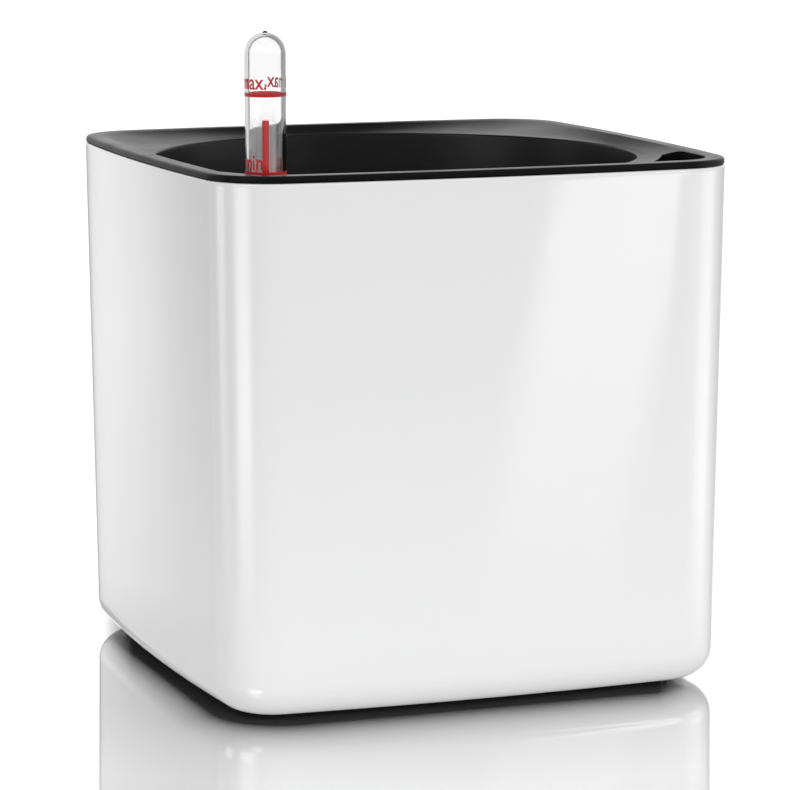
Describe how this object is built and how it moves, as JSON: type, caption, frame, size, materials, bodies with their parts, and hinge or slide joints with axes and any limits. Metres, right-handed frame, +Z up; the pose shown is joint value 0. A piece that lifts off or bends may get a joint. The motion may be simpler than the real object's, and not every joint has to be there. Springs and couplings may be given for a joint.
{
  "type": "self watering planter",
  "caption": "Cube planter: glossy casing, lift-out liner with a round planting bowl and a corner fill shaft, wicks, and a clear float-type water level indicator.",
  "frame": {"origin": "on the table, under the middle of the planter", "axes": "+Z up, front towards -Y; the level indicator is in the front left corner (-X -Y) and the fill opening in the front right corner (+X -Y)"},
  "size_m": [0.14, 0.14, 0.1676],
  "materials": {
    "casing_gloss": "high gloss white",
    "pad_rubber": "white, matte",
    "liner_satin": "satin black",
    "wick_fibre": "braided cord",
    "tube_clear": "clear, polished",
    "housing_black": "satin",
    "guide_plastic": "satin",
    "float_foam": "fine-grained foam",
    "rod_red": "moulded red"
  },
  "bodies": {
    "casing": {"outer_casing": "casing_gloss", "foot_pad_front_left": "pad_rubber", "foot_pad_front_right": "pad_rubber", "foot_pad_back_left": "pad_rubber", "foot_pad_back_right": "pad_rubber"},
    "liner": {"liner": "liner_satin", "wick_left": "wick_fibre", "wick_right": "wick_fibre"},
    "indicator": {"indicator_tube": "tube_clear", "indicator_housing": "housing_black", "rod_guide": "guide_plastic", "indicator_end_cap": "housing_black"},
    "float": {"float_body": "float_foam", "float_rod": "rod_red"}
  },
  "joints": [
    {"name": "liner_lift", "type": "slide", "parent": "casing", "child": "liner", "axis": [0, 0, 1], "range_m": [0, 0.14]},
    {"name": "indicator_lift", "type": "slide", "parent": "liner", "child": "indicator", "axis": [0, 0, 1], "range_m": [0, 0.14]},
    {"name": "float_travel", "type": "slide", "parent": "indicator", "child": "float", "axis": [0, 0, 1], "range_m": [-0.0124, 0.0062]}
  ]
}
